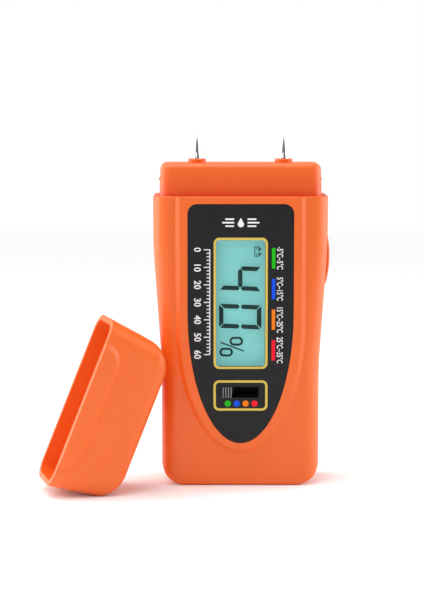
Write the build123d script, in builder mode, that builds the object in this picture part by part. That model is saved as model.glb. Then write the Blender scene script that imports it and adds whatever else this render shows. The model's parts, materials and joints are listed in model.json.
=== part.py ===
"""Pin-type moisture meter with its pull-off cap set down beside it.

Millimetres, +Z up, front face towards -Y.
The origin is the middle of the foot face that the meter stands on.
"""
from build123d import *
import os
from math import atan2, cos, radians, sin, tan

os.makedirs("parts", exist_ok=True)

# ---------------------------------------------------------------- case
shoulder_width = 68.1
foot_width = 61.9
case_depth = 28.0
shoulder_z = 113.7
waist_drop = 19.7            # from the shoulder down to where the flanks turn inwards
waist_foot_z = 48.0          # where the flanks turn straight again
waist_round = 235.0           # where the flank leaves room for it
flank_round = 6.5            # between the faces and the flanks
foot_corner_round = 9.5
foot_edge_round = 1.4
shoulder_edge_round = 0.6
wall = 2.2
seam_groove = 0.2            # small bevel along the seam between the two covers

# ---------------------------------------------------------------- raised shield and label
shield_width = 50.6
shield_slope = 1.6           # width of its sloped border
shield_height = 1.2
shield_bottom_z = 13.0
shield_straight_z = 63.3     # its border is straight above this height
label_width = 41.1
label_bottom_z = 17.2
label_straight_z = 68.2
label_drop = 2.9             # from the shoulder down to the label's top edge
label_corner_round = 3.7
label_thickness = 0.5
label_recess = 0.6

# ---------------------------------------------------------------- neck
neck_width = 63.2
neck_depth = 22.8
neck_height = 12.5
neck_draft = 2.0
neck_corner_round = 4.3
neck_top_round = 2.2
detent_rise = 6.3            # height of the catch bumps above the shoulder
detent_length = 8.0
detent_radius = 0.9
detent_height = 0.45         # how far a bump stands out of the neck

# ---------------------------------------------------------------- cap
cap_height = 27.3
cap_draft = 7.2              # degrees that its flanks lean in towards the closed end
cap_corner_round = 12.0
cap_end_round = 4.5
cap_end_wall = 2.1
cap_flank_wall = 1.5         # at the closed end
cap_clearance = 0.25         # all round between neck and cap
cap_pad_reach = 8.0          # how far the raised pad runs from the rim
cap_pad_round = 7.5
cap_rim_round = 0.5
cap_turn = 15.4              # degrees about Z, where the cap is set down
cap_tilt = 22.35             # degrees from upright, leaning on the flank
cap_middle_y = -24.7         # middle of the rim once the cap is set down
lean_gap = 2.2
lean_steps = 8               # each step closes most of what is left of the gap

# ---------------------------------------------------------------- electrode pins
pin_spacing = 34.0
pin_collar_radius = 1.7
pin_collar_height = 2.4      # the collar narrows to the shaft over this height
pin_radius = 1.25
pin_length = 9.8             # above its boss
pin_tip_radius = 0.12
pin_ogive = 40.0             # radius of the tip's convex side
boss_radius = 3.5
boss_height = 1.6
boss_round = 0.4
pin_shank_radius = 1.2
pin_shank_depth = 10.0
socket_radius = 3.1
socket_length = 10.0
socket_tail_radius = 1.0
socket_tail = 2.0
thread_clearance = 0.02
hole_clearance = 0.15
seat_clearance = 0.1

# ---------------------------------------------------------------- display
window_width = 19.1
window_height = 49.4
window_drop = 13.9           # from the label's top edge to the window's top edge
window_corner_round = 0.8
lens_flange = 1.2
lens_flange_thickness = 0.8
lens_clearance = 0.05
opening_margin = 0.5
glass_margin = 2.1
glass_thickness = 2.2
glass_setback = 0.1
holder_wall = 1.6
zebra_width = 1.8
zebra_length = 50.0
reflector_thickness = 0.2

# ---------------------------------------------------------------- board
board_front_y = -8.6
board_thickness = 1.6
board_side_gap = 5.75        # from the inside of the narrow end of the case to the board's edge
board_top_drop = 7.7         # from the shoulder
board_below_switch = 8.0
board_corner = 2.0
board_screw_radius = 1.0
board_screw_head_radius = 2.0
board_screw_head = 1.2
board_screw_inset = 3.5
board_boss_radius = 2.5

# ---------------------------------------------------------------- range switch
switch_drop = 10.2          # from the window's bottom edge to the slot's middle
slot_width = 14.2
slot_height = 4.4
switch_positions = 4
switch_pitch = 3.48
knob_width = 3.5
knob_stand = 0.2             # how far the knob's face stands out of the label
knob_rib_width = 0.26
knob_rib_pitch = 1.04
knob_rib_height = 0.55
knob_clearance = 0.1
bezel_margin = 2.1
bezel_thickness = 2.0
switch_body_width = 21.0
switch_body_height = 8.0
switch_body_depth = 2.9
switch_shell = 0.5

# ---------------------------------------------------------------- test button on the right flank
button_length = 22.0
button_width = 11.0
button_bulge = 1.35
button_drop = 25.9           # from the shoulder down to its middle
button_clearance = 0.25
button_flange = 1.6
button_flange_thickness = 1.2
button_edge_round = 0.7
button_travel = 0.6
pusher_radius = 1.5
tact_size = 6.0
tact_depth = 3.6
plunger_radius = 1.6
plunger_reach = 3.0
plunger_clearance = 0.05
plunger_gap = 0.15

# ---------------------------------------------------------------- battery and door
battery_width = 26.5
battery_thickness = 17.0
battery_height = 46.0
battery_round = 2.2
battery_clearance = 0.4
terminal_spacing = 12.7
terminal_height = 2.5
terminal_radius_plus = 2.8
terminal_radius_minus = 3.6
snap_height = 4.6
snap_gap = 0.4
pad_thickness = 2.4
door_thickness = 1.9
door_bottom_z = 4.0
door_gap = 0.3
door_overlap = 1.0           # door edge that bears on the battery box wall
trunnion_radius = 0.6
trunnion_length = 1.2
trunnion_clearance = 0.08
box_wall = 1.4
box_top_room = 3.9           # space for the leads above the snap connector

# ---------------------------------------------------------------- screws and leads
screw_inset = 8.05
shoulder_screw_drop = 7.2
foot_screw_z = 9.5
screw_boss_radius = 3.0
screw_radius = 1.4
screw_head_radius = 2.6
screw_head_height = 1.8
screw_head_depth = 2.0       # head below the back face
lead_radius = 0.5

# ---------------------------------------------------------------- worked out from the above
shoulder_half = shoulder_width / 2
foot_half = foot_width / 2
front_y = -case_depth / 2
back_y = case_depth / 2
inner_front_y = front_y + wall
inner_back_y = back_y - wall
waist_top_z = shoulder_z - waist_drop
waist_slope = atan2(shoulder_half - foot_half, waist_top_z - waist_foot_z)
waist_room = 0.8 * min(waist_drop, (waist_top_z - waist_foot_z) / 2)
waist_turn = min(waist_round, waist_room / tan(waist_slope / 2))
neck_top_z = shoulder_z + neck_height
boss_top_z = neck_top_z + boss_height
shield_y = front_y - shield_height
label_floor_y = shield_y + label_recess
label_face_y = label_floor_y - label_thickness
label_top_z = shoulder_z - label_drop
window_z = label_top_z - window_drop - window_height / 2
slot_z = window_z - window_height / 2 - switch_drop
lens_back_y = label_floor_y + lens_flange_thickness
glass_front_y = lens_back_y + 1.3
glass_back_y = glass_front_y + glass_thickness
glass_width = window_width + 2 * glass_margin
glass_height = window_height + 2 * glass_margin
board_back_y = board_front_y + board_thickness
board_half = foot_half - wall - board_side_gap
board_top_z = shoulder_z - board_top_drop
board_bottom_z = slot_z - board_below_switch
button_z = shoulder_z - button_drop
knob_travel = (switch_positions - 1) * switch_pitch
knob_x = -knob_travel / 2
bezel_back_y = label_floor_y + bezel_thickness
switch_front_y = board_front_y - switch_body_depth
battery_bottom_z = wall + pad_thickness + 0.1
battery_top_z = battery_bottom_z + battery_height
snap_bottom_z = battery_top_z + snap_gap
snap_top_z = snap_bottom_z + snap_height
box_half = battery_width / 2 + battery_clearance
box_top_z = snap_top_z + box_top_room
door_seat_y = back_y - door_thickness
battery_back_y = door_seat_y - 0.2
battery_y = battery_back_y - battery_thickness / 2
box_front_y = battery_back_y - battery_thickness - 0.2
door_half = box_half + door_overlap
door_top_z = snap_top_z + 2.4
hinge_radius = door_thickness / 2
hinge_y = back_y - hinge_radius
hinge_z = door_bottom_z + hinge_radius
tact_x = board_half - 0.4
tact_y = board_back_y + 0.05 + tact_size / 2
screw_head_top_y = back_y - screw_head_depth
screw_seat_y = screw_head_top_y - screw_head_height
screw_places = [
    (side * (half - screw_inset), height)
    for side in (-1, 1)
    for half, height in ((shoulder_half, shoulder_z - shoulder_screw_drop), (foot_half, foot_screw_z))
]
board_screw_places = [
    (side * (board_half - board_screw_inset), height)
    for side in (-1, 1)
    for height in (board_bottom_z + board_screw_inset, board_top_z - board_screw_inset)
]


def front_plane(y):
    """Plane facing -Y at this depth, with X across and Z up."""
    return Plane.XZ.offset(-y)


def flank_half(z):
    """Half of the case's width at a height between the two turns of the flank."""
    share = (z - waist_foot_z) / (waist_top_z - waist_foot_z)
    return foot_half + (shoulder_half - foot_half) * min(max(share, 0), 1)


def flank_outline(inset, bottom_z, top_z):
    """The case's front outline, drawn in by inset."""
    upper = shoulder_half - inset
    lower = foot_half - inset
    with BuildSketch() as outline:
        with BuildLine():
            Polyline(
                (upper, top_z),
                (upper, waist_top_z),
                (lower, waist_foot_z),
                (lower, bottom_z),
                (-lower, bottom_z),
                (-lower, waist_foot_z),
                (-upper, waist_top_z),
                (-upper, top_z),
                close=True,
            )
        make_face()
        turns = outline.vertices().filter_by_position(Axis.Y, waist_foot_z - 1, waist_top_z + 1)
        fillet(turns, waist_turn)
    return outline.sketch


def case_block(inset, edge_round):
    """The case without shield and neck, drawn in by inset on every side."""
    half_depth = case_depth / 2 - inset
    top_z = shoulder_z - inset
    with BuildPart() as column:
        with BuildSketch(Plane.XZ):
            add(flank_outline(inset, -foot_corner_round, top_z))
        extrude(amount=half_depth, both=True)
        layers = column.edges().group_by(Axis.Y)
        upright = (layers[0] + layers[-1]).filter_by(Axis.X, reverse=True)
        fillet(upright, flank_round - inset)
    with BuildPart() as block:
        with BuildSketch(Plane.XZ) as front:
            add(flank_outline(inset, inset, top_z))
            fillet(front.vertices().group_by(Axis.Y)[0], foot_corner_round - inset)
        extrude(amount=half_depth, both=True)
        if edge_round > 0:
            layers = block.edges().group_by(Axis.Y)
            low_edges = (layers[0] + layers[-1]).filter_by_position(Axis.Z, -1, foot_corner_round)
            fillet(low_edges, edge_round)
        add(column.part, mode=Mode.INTERSECT)
    return block.part


def shield_outline(width, straight_z, bottom_z, top_z):
    """Straight-sided shape whose lower end is half an ellipse."""
    half = width / 2
    with BuildSketch() as outline:
        with BuildLine():
            EllipticalCenterArc((0, straight_z), half, straight_z - bottom_z, start_angle=180, arc_size=180)
            Polyline((half, straight_z), (half, top_z), (-half, top_z), (-half, straight_z))
        make_face()
    return outline.sketch


def label_outline(margin):
    """The label's outline with this margin all round."""
    with BuildSketch() as outline:
        add(shield_outline(
            label_width + 2 * margin,
            label_straight_z,
            label_bottom_z - margin,
            label_top_z + margin,
        ))
        fillet(outline.vertices().group_by(Axis.Y)[-1], label_corner_round + margin)
    return outline.sketch


# ---------------------------------------------------------------- the case as one block and its hollow
with BuildPart() as case_outer:
    add(case_block(0, foot_edge_round))
    with BuildSketch(front_plane(front_y)):
        add(shield_outline(shield_width, shield_straight_z, shield_bottom_z, shoulder_z))
    with BuildSketch(front_plane(shield_y)):
        add(shield_outline(
            shield_width - 2 * shield_slope,
            shield_straight_z,
            shield_bottom_z + shield_slope,
            shoulder_z,
        ))
    loft(ruled=True)
    fillet(case_outer.edges().group_by(Axis.Z)[-1], shoulder_edge_round)
    with BuildSketch(Plane.XY.offset(shoulder_z)):
        RectangleRounded(neck_width, neck_depth, neck_corner_round)
    extrude(amount=neck_height, taper=neck_draft)
    fillet(case_outer.edges().group_by(Axis.Z)[-1], neck_top_round)

with BuildPart() as case_hollow:
    add(case_block(wall, 0))
    with BuildSketch(Plane.XY.offset(shoulder_z - wall)):
        RectangleRounded(neck_width - 2 * wall, neck_depth - 2 * wall, neck_corner_round - wall)
    extrude(amount=neck_height, taper=neck_draft)


# bosses for the electrode pins and the cap's catch bumps, on the neck
with BuildPart() as pin_bosses:
    with BuildSketch(Plane.XY.offset(neck_top_z - 0.5)):
        with GridLocations(pin_spacing, 1, 2, 1):
            Circle(boss_radius)
    extrude(amount=boss_height + 0.5)
    fillet(pin_bosses.edges().group_by(Axis.Z)[-1], boss_round)
    bump_x = neck_width / 2 - detent_rise * tan(radians(neck_draft)) + detent_height - detent_radius
    with Locations((-bump_x, 0, shoulder_z + detent_rise), (bump_x, 0, shoulder_z + detent_rise)):
        Cylinder(detent_radius, detent_length, rotation=(90, 0, 0))

# blocks inside the neck that clamp the two pin sockets
with BuildPart() as socket_cradles:
    with BuildSketch(Plane.XY.offset(shoulder_z + 1.5)):
        with GridLocations(pin_spacing, 1, 2, 1):
            Rectangle(2 * socket_radius + 3.0, neck_depth - 2 * wall + 0.3)
    extrude(amount=neck_height - wall - 3.0)

with BuildPart() as socket_bores:
    with BuildSketch(Plane.XY.offset(shoulder_z - 2 * wall)):
        with GridLocations(pin_spacing, 1, 2, 1):
            Circle(socket_radius + seat_clearance)
    extrude(amount=neck_height + wall)
    with BuildSketch(Plane.XY.offset(neck_top_z - wall - 1)):
        with GridLocations(pin_spacing, 1, 2, 1):
            Circle(pin_shank_radius + hole_clearance)
    extrude(amount=wall + boss_height + 2)

# the button's hole in the right flank
with BuildPart() as button_hole:
    with BuildSketch(Plane.YZ.offset(flank_half(button_z) - 2 * wall)):
        with Locations((0, button_z)):
            SlotOverall(button_length + 2 * button_clearance, button_width + 2 * button_clearance, 90)
    extrude(amount=4 * wall)


# ---------------------------------------------------------------- front cover
with BuildPart() as front_cover:
    add(case_outer.part)
    split(bisect_by=Plane.XZ, keep=Keep.TOP)
    chamfer(faces().sort_by(Axis.Y)[-1].outer_wire().edges(), seam_groove)
    add(pin_bosses.part)
    split(bisect_by=Plane.XZ, keep=Keep.TOP)
    add(case_hollow.part, mode=Mode.SUBTRACT)
    # screw bosses, blind from the seam
    with BuildSketch(front_plane(0)):
        with Locations(*screw_places):
            Circle(screw_boss_radius)
    extrude(amount=-inner_front_y + 0.2)
    # board bosses
    with BuildSketch(front_plane(board_front_y)):
        with Locations(*board_screw_places):
            Circle(board_boss_radius)
    extrude(amount=board_front_y - inner_front_y + 0.2)
    add(socket_cradles.part)
    add(socket_bores.part, mode=Mode.SUBTRACT)
    split(bisect_by=Plane.XZ, keep=Keep.TOP)
    with BuildSketch(front_plane(0)):
        with Locations(*screw_places):
            Circle(screw_radius + thread_clearance)
    extrude(amount=-inner_front_y - 1.5, mode=Mode.SUBTRACT)
    with BuildSketch(front_plane(board_front_y)):
        with Locations(*board_screw_places):
            Circle(board_screw_radius + thread_clearance)
    extrude(amount=board_front_y - inner_front_y + 1.0, mode=Mode.SUBTRACT)
    # label recess
    with BuildSketch(front_plane(label_floor_y)):
        add(label_outline(seat_clearance))
    extrude(amount=2 * label_recess, mode=Mode.SUBTRACT)
    # seat for the window's flange, opening behind it, and pocket for the glass
    with BuildSketch(front_plane(lens_back_y)):
        with Locations((0, window_z)):
            Rectangle(
                window_width + 2 * lens_flange + 2 * seat_clearance,
                window_height + 2 * lens_flange + 2 * seat_clearance,
            )
    extrude(amount=2 * lens_flange_thickness, mode=Mode.SUBTRACT)
    with BuildSketch(front_plane(inner_front_y + 1)):
        with Locations((0, window_z)):
            Rectangle(window_width + 2 * opening_margin, window_height + 2 * opening_margin)
    extrude(amount=2 * wall, mode=Mode.SUBTRACT)
    with BuildSketch(front_plane(inner_front_y + 1)):
        with Locations((0, window_z)):
            Rectangle(glass_width + 8 * seat_clearance, glass_height + 8 * seat_clearance)
    extrude(amount=inner_front_y + 1 - glass_front_y + glass_setback, mode=Mode.SUBTRACT)
    # seat and slot for the switch bezel
    with BuildSketch(front_plane(bezel_back_y)):
        with Locations((0, slot_z)):
            Rectangle(
                slot_width + 2 * bezel_margin + 2 * seat_clearance,
                slot_height + 2 * bezel_margin + 2 * seat_clearance,
            )
    extrude(amount=2 * bezel_thickness, mode=Mode.SUBTRACT)
    with BuildSketch(front_plane(inner_front_y + 1)):
        with Locations((0, slot_z)):
            Rectangle(slot_width + bezel_margin, slot_height + bezel_margin)
    extrude(amount=2 * wall, mode=Mode.SUBTRACT)
    add(button_hole.part, mode=Mode.SUBTRACT)
front_cover.part.label = "front_cover"
export_step(front_cover.part, "parts/front_cover.step")

# ---------------------------------------------------------------- rear cover
with BuildPart() as rear_cover:
    add(case_outer.part)
    split(bisect_by=Plane.XZ, keep=Keep.BOTTOM)
    chamfer(faces().sort_by(Axis.Y)[0].outer_wire().edges(), seam_groove)
    add(pin_bosses.part)
    split(bisect_by=Plane.XZ, keep=Keep.BOTTOM)
    add(case_hollow.part, mode=Mode.SUBTRACT)
    with BuildSketch(front_plane(0)):
        with Locations(*screw_places):
            Circle(screw_boss_radius)
    extrude(amount=-inner_back_y - 0.2)
    add(socket_cradles.part)
    add(socket_bores.part, mode=Mode.SUBTRACT)
    split(bisect_by=Plane.XZ, keep=Keep.BOTTOM)
    # battery box
    with BuildSketch(front_plane(inner_back_y + 0.2)):
        with Locations((0, (wall + box_top_z + box_wall) / 2)):
            Rectangle(2 * box_half + 2 * box_wall, box_top_z + box_wall - wall)
    extrude(amount=inner_back_y + 0.2 - box_front_y + box_wall)
    with BuildSketch(front_plane(back_y + 1)):
        with Locations((0, (wall + box_top_z) / 2)):
            Rectangle(2 * box_half, box_top_z - wall)
    extrude(amount=back_y + 1 - box_front_y, mode=Mode.SUBTRACT, both=False)
    # the back wall is closed again round the door opening
    with BuildSketch(front_plane(back_y)):
        with Locations((0, (wall + box_top_z) / 2)):
            Rectangle(2 * box_half + 0.4, box_top_z - wall + 0.4)
        with Locations((0, (door_bottom_z + door_top_z) / 2)):
            Rectangle(2 * box_half, door_top_z - door_bottom_z, mode=Mode.SUBTRACT)
    extrude(amount=wall)
    # seat for the door
    with BuildSketch(front_plane(door_seat_y)):
        with Locations((0, (door_bottom_z + door_top_z) / 2)):
            Rectangle(2 * door_half + 2 * door_gap, door_top_z - door_bottom_z + 2 * door_gap)
    extrude(amount=-2 * door_thickness, mode=Mode.SUBTRACT)
    with BuildSketch(Plane.YZ):
        with Locations((hinge_y, hinge_z)):
            Circle(trunnion_radius + trunnion_clearance)
    extrude(amount=door_half + trunnion_length + door_gap, both=True, mode=Mode.SUBTRACT)
    # thumb scoop above the door
    with Locations((0, back_y + 6.0, door_top_z + 1.0)):
        Sphere(7.4, mode=Mode.SUBTRACT)
    # way out for the battery leads
    with BuildSketch(Plane.XY.offset(box_top_z - 1)):
        with Locations((0, battery_y)):
            Rectangle(12, 6)
    extrude(amount=box_wall + 2, mode=Mode.SUBTRACT)
    # screw holes with sunk seats
    with BuildSketch(front_plane(back_y + 1)):
        with Locations(*screw_places):
            Circle(screw_radius + hole_clearance)
    extrude(amount=case_depth, mode=Mode.SUBTRACT)
    with BuildSketch(front_plane(back_y + 1)):
        with Locations(*screw_places):
            Circle(screw_head_radius + hole_clearance)
    extrude(amount=back_y + 1 - screw_seat_y, mode=Mode.SUBTRACT)
    add(button_hole.part, mode=Mode.SUBTRACT)
rear_cover.part.label = "rear_cover"
export_step(rear_cover.part, "parts/rear_cover.step")

# ---------------------------------------------------------------- battery door
with BuildPart() as battery_door:
    with BuildSketch(front_plane(door_seat_y)):
        with Locations((0, (hinge_z + door_top_z) / 2)):
            Rectangle(2 * door_half, door_top_z - hinge_z)
    extrude(amount=-door_thickness)
    with Locations((0, hinge_y, hinge_z)):
        Cylinder(hinge_radius, 2 * door_half, rotation=(0, 90, 0))
        Cylinder(trunnion_radius, 2 * (door_half + trunnion_length), rotation=(0, 90, 0))
    # grip ribs below the thumb scoop
    with BuildSketch(front_plane(back_y)):
        with Locations((0, door_top_z - 7.0)):
            with GridLocations(0, 2.2, 1, 4):
                SlotOverall(15.0, 1.0)
    extrude(amount=0.5, mode=Mode.SUBTRACT)
    with Locations((0, back_y + 6.0, door_top_z + 1.0)):
        Sphere(6.6, mode=Mode.SUBTRACT)
battery_door.part.label = "battery_door"
export_step(battery_door.part, "parts/battery_door.step")

# ---------------------------------------------------------------- cap, first as it sits on the neck
cap_end_half = shoulder_half - cap_height * tan(radians(cap_draft))
cap_room = cap_height - cap_end_wall
cap_throat_half = neck_width / 2 + cap_clearance
cap_throat_height = neck_height + cap_clearance
cap_inner_half = cap_throat_half - cap_throat_height * tan(radians(neck_draft))
cap_inner_end_half = min(cap_end_half - cap_flank_wall, cap_inner_half - cap_clearance)
cap_inner_depth = neck_depth + 2 * cap_clearance


def symmetric_polygon(*corners):
    """Polygon from its right-hand corners, from the bottom up, mirrored to the left."""
    mirrored = [(-x, z) for x, z in reversed(corners)]
    with BuildSketch() as outline:
        with BuildLine():
            Polyline(*corners, *mirrored, close=True)
        make_face()
    return outline.sketch


with BuildPart() as cap_skirt:
    with BuildSketch(Plane.XZ):
        add(symmetric_polygon((shoulder_half, 0), (cap_end_half, cap_height)))
    extrude(amount=case_depth / 2, both=True)
    skirt_layers = cap_skirt.edges().group_by(Axis.Y)
    fillet((skirt_layers[0] + skirt_layers[-1]).filter_by(Axis.X, reverse=True), flank_round)

with BuildPart() as cap_outer:
    with BuildSketch(Plane.XZ) as cap_front:
        add(symmetric_polygon((shoulder_half, 0), (cap_end_half, cap_height)))
        fillet(cap_front.vertices().group_by(Axis.Y)[-1], cap_corner_round)
    extrude(amount=case_depth / 2, both=True)
    cap_layers = cap_outer.edges().group_by(Axis.Y)
    end_edges = (cap_layers[0] + cap_layers[-1]).filter_by_position(Axis.Z, cap_end_round, cap_height + 1)
    fillet(end_edges, cap_end_round)
    add(cap_skirt.part, mode=Mode.INTERSECT)
    fillet(cap_outer.edges().group_by(Axis.Z)[0], cap_rim_round)
    # raised pad that carries the case's shield on
    with BuildSketch(front_plane(front_y)):
        with Locations((0, 0)):
            RectangleRounded(shield_width, 2 * cap_pad_reach, cap_pad_round)
        with Locations((0, -cap_pad_reach)):
            Rectangle(shield_width, 2 * cap_pad_reach, mode=Mode.SUBTRACT)
    with BuildSketch(front_plane(shield_y)):
        with Locations((0, 0)):
            RectangleRounded(
                shield_width - 2 * shield_slope,
                2 * (cap_pad_reach - shield_slope),
                cap_pad_round - shield_slope,
            )
        with Locations((0, -cap_pad_reach)):
            Rectangle(shield_width, 2 * cap_pad_reach, mode=Mode.SUBTRACT)
    loft(ruled=True)

with BuildPart() as cap_hollow:
    with BuildSketch(Plane.XZ) as hollow_front:
        add(symmetric_polygon(
            (cap_throat_half, 0),
            (cap_inner_half, cap_throat_height),
            (cap_inner_end_half, cap_room),
        ))
        fillet(hollow_front.vertices().group_by(Axis.Y)[-1], cap_corner_round - cap_end_wall)
    extrude(amount=cap_inner_depth / 2, both=True)
    hollow_layers = cap_hollow.edges().group_by(Axis.Y)
    inner_edges = (hollow_layers[0] + hollow_layers[-1]).filter_by_position(Axis.Z, 0.1, cap_height)
    fillet(inner_edges, neck_corner_round)
    # catch grooves for the neck's bumps
    groove_x = cap_throat_half - detent_rise * tan(radians(neck_draft)) + detent_height - detent_radius
    with Locations((-groove_x, 0, detent_rise), (groove_x, 0, detent_rise)):
        Cylinder(detent_radius + 0.1, detent_length + 1, rotation=(90, 0, 0))

with BuildPart() as seated_cap:
    add(cap_outer.part)
    add(cap_hollow.part, mode=Mode.SUBTRACT)

# where the cap is set down: turned a little, one rounded corner on the ground and one on the flank
turn = radians(cap_turn)
tilt = radians(cap_tilt)
across = Vector(cos(turn), sin(turn), 0)
cap_out = across * cos(tilt) + Vector(0, 0, -sin(tilt))      # from the rim to the closed end
cap_up = across * sin(tilt) + Vector(0, 0, cos(tilt))        # along the cap's width, upwards
cap_rest = Plane(origin=(-2 * shoulder_width, cap_middle_y, 0), x_dir=-cap_up, z_dir=cap_out)
standing_cap = cap_rest.location * cap_outer.part
ground_lift = -standing_cap.bounding_box().min.Z
cap_rest.origin += Vector(0, 0, ground_lift)
for _ in range(lean_steps):
    standing_cap = cap_rest.location * cap_outer.part
    cap_rest.origin += Vector(standing_cap.distance_to(case_outer.part) - lean_gap, 0, 0)

with BuildPart() as cap:
    with Locations(cap_rest):
        add(seated_cap.part)
cap.part.label = "cap"
export_step(cap.part, "parts/cap.step")

# ---------------------------------------------------------------- label and window
with BuildPart() as face_label:
    with BuildSketch(front_plane(label_floor_y)):
        add(label_outline(0))
        with Locations((0, window_z)):
            RectangleRounded(window_width, window_height, window_corner_round, mode=Mode.SUBTRACT)
        with Locations((0, slot_z)):
            Rectangle(slot_width, slot_height, mode=Mode.SUBTRACT)
    extrude(amount=label_thickness)
face_label.part.label = "face_label"
export_step(face_label.part, "parts/face_label.step")

with BuildPart() as display_window:
    with BuildSketch(front_plane(lens_back_y)):
        with Locations((0, window_z)):
            RectangleRounded(window_width + 2 * lens_flange, window_height + 2 * lens_flange, 1.0)
    extrude(amount=lens_flange_thickness)
    with BuildSketch(front_plane(label_floor_y)):
        with Locations((0, window_z)):
            RectangleRounded(
                window_width - 2 * lens_clearance,
                window_height - 2 * lens_clearance,
                window_corner_round - lens_clearance,
            )
    extrude(amount=label_thickness - 0.05)
display_window.part.label = "display_window"
export_step(display_window.part, "parts/display_window.step")

# ---------------------------------------------------------------- liquid crystal display
with BuildPart() as lcd_glass:
    with BuildSketch(front_plane(glass_back_y)):
        with Locations((0, window_z)):
            Rectangle(glass_width, glass_height)
    extrude(amount=glass_thickness / 2)
    with BuildSketch(front_plane(glass_back_y - glass_thickness / 2)):
        with Locations((0, window_z)):
            Rectangle(glass_width - 2.4, glass_height)
    extrude(amount=glass_thickness / 2)
lcd_glass.part.label = "lcd_glass"
export_step(lcd_glass.part, "parts/lcd_glass.step")

with BuildPart() as lcd_reflector:
    with BuildSketch(front_plane(glass_back_y + reflector_thickness)):
        with Locations((0, window_z)):
            Rectangle(window_width, window_height + 1)
    extrude(amount=reflector_thickness)
lcd_reflector.part.label = "lcd_reflector"
export_step(lcd_reflector.part, "parts/lcd_reflector.step")

with BuildPart() as zebra_strips:
    with BuildSketch(front_plane(board_front_y)):
        with Locations((0, window_z)):
            with GridLocations(glass_width - zebra_width - 0.4, 0, 2, 1):
                Rectangle(zebra_width, zebra_length)
    extrude(amount=board_front_y - glass_back_y)
zebra_strips.part.label = "zebra_strips"
export_step(zebra_strips.part, "parts/zebra_strips.step")

with BuildPart() as lcd_holder:
    with BuildSketch(front_plane(board_front_y)):
        with Locations((0, window_z)):
            Rectangle(glass_width + 0.4 + 2 * holder_wall, glass_height + 0.4 + 2 * holder_wall)
            Rectangle(glass_width + 0.4, glass_height + 0.4, mode=Mode.SUBTRACT)
    extrude(amount=board_front_y - inner_front_y - 0.1)
lcd_holder.part.label = "lcd_holder"
export_step(lcd_holder.part, "parts/lcd_holder.step")

# ---------------------------------------------------------------- main board and what is soldered to it
with BuildPart() as main_board:
    with BuildSketch(front_plane(board_back_y)) as board_shape:
        with Locations((0, (board_bottom_z + board_top_z) / 2)):
            Rectangle(2 * board_half, board_top_z - board_bottom_z)
        chamfer(board_shape.vertices(), board_corner)
        with Locations(*board_screw_places):
            Circle(board_screw_radius + hole_clearance, mode=Mode.SUBTRACT)
    extrude(amount=board_thickness)
main_board.part.label = "main_board"
export_step(main_board.part, "parts/main_board.step")


def legged_chips(places, width, length, height, legs):
    """Flat packages on the board's back, each with two rows of legs."""
    with BuildPart() as chips:
        with BuildSketch(front_plane(board_back_y + height)):
            with Locations(*places):
                Rectangle(width, length)
        extrude(amount=height - 0.15)
        with BuildSketch(front_plane(board_back_y + height / 2)):
            with Locations(*places):
                with GridLocations(width + 1.0, length / legs, 2, legs):
                    Rectangle(1.2, length / legs * 0.35)
        extrude(amount=height / 2)
    return chips.part


with BuildPart() as main_chip:
    add(legged_chips([(0, button_z - 5)], 7.5, 18.0, 2.3, 14))
main_chip.part.label = "main_chip"
export_step(main_chip.part, "parts/main_chip.step")

with BuildPart() as amplifier_chips:
    add(legged_chips([(-8.0, board_top_z - 6.5), (8.0, board_top_z - 6.5)], 3.9, 4.9, 1.6, 4))
amplifier_chips.part.label = "amplifier_chips"
export_step(amplifier_chips.part, "parts/amplifier_chips.step")

with BuildPart() as chip_resistors:
    with BuildSketch(front_plane(board_back_y + 0.5)):
        with Locations((-13.5, button_z - 3), (12.0, button_z - 8)):
            with GridLocations(4.0, 3.0, 2, 4):
                Rectangle(2.0, 1.25)
    extrude(amount=0.5)
chip_resistors.part.label = "chip_resistors"
export_step(chip_resistors.part, "parts/chip_resistors.step")

with BuildPart() as power_capacitors:
    with BuildSketch(front_plane(board_back_y)):
        with Locations((-14.5, box_top_z + 7.5), (-8.0, box_top_z + 7.5)):
            Circle(2.5)
    extrude(amount=-7.0)
    fillet(power_capacitors.edges().group_by(Axis.Y)[-1], 0.4)
power_capacitors.part.label = "power_capacitors"
export_step(power_capacitors.part, "parts/power_capacitors.step")

with BuildPart() as clock_crystal:
    with BuildSketch(front_plane(board_back_y)):
        with Locations((12.5, box_top_z + 6.5)):
            SlotOverall(11.0, 4.6)
    extrude(amount=-0.5)
    with BuildSketch(front_plane(board_back_y + 0.5)):
        with Locations((12.5, box_top_z + 6.5)):
            SlotOverall(10.2, 3.8)
    extrude(amount=-3.0)
clock_crystal.part.label = "clock_crystal"
export_step(clock_crystal.part, "parts/clock_crystal.step")

with BuildPart() as trim_pot:
    with BuildSketch(front_plane(board_back_y)):
        with Locations((0, board_top_z - 6.5)):
            Rectangle(6.6, 6.6)
    extrude(amount=-4.2)
    with BuildSketch(front_plane(board_back_y + 4.2)):
        with Locations((0, board_top_z - 6.5)):
            Circle(1.6)
            Rectangle(2.4, 0.5, mode=Mode.SUBTRACT)
    extrude(amount=-0.6)
trim_pot.part.label = "trim_pot"
export_step(trim_pot.part, "parts/trim_pot.step")

with BuildPart() as board_screws:
    with BuildSketch(front_plane(board_back_y + board_screw_head)):
        with Locations(*board_screw_places):
            Circle(board_screw_head_radius)
    extrude(amount=board_screw_head)
    with BuildSketch(front_plane(board_back_y)):
        with Locations(*board_screw_places):
            Circle(board_screw_radius)
    extrude(amount=board_thickness + 3.0)
    with BuildSketch(front_plane(board_back_y + board_screw_head)):
        with Locations(*board_screw_places):
            Rectangle(2.4, 0.5)
            Rectangle(0.5, 2.4)
    extrude(amount=0.6, mode=Mode.SUBTRACT)
board_screws.part.label = "board_screws"
export_step(board_screws.part, "parts/board_screws.step")

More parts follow.
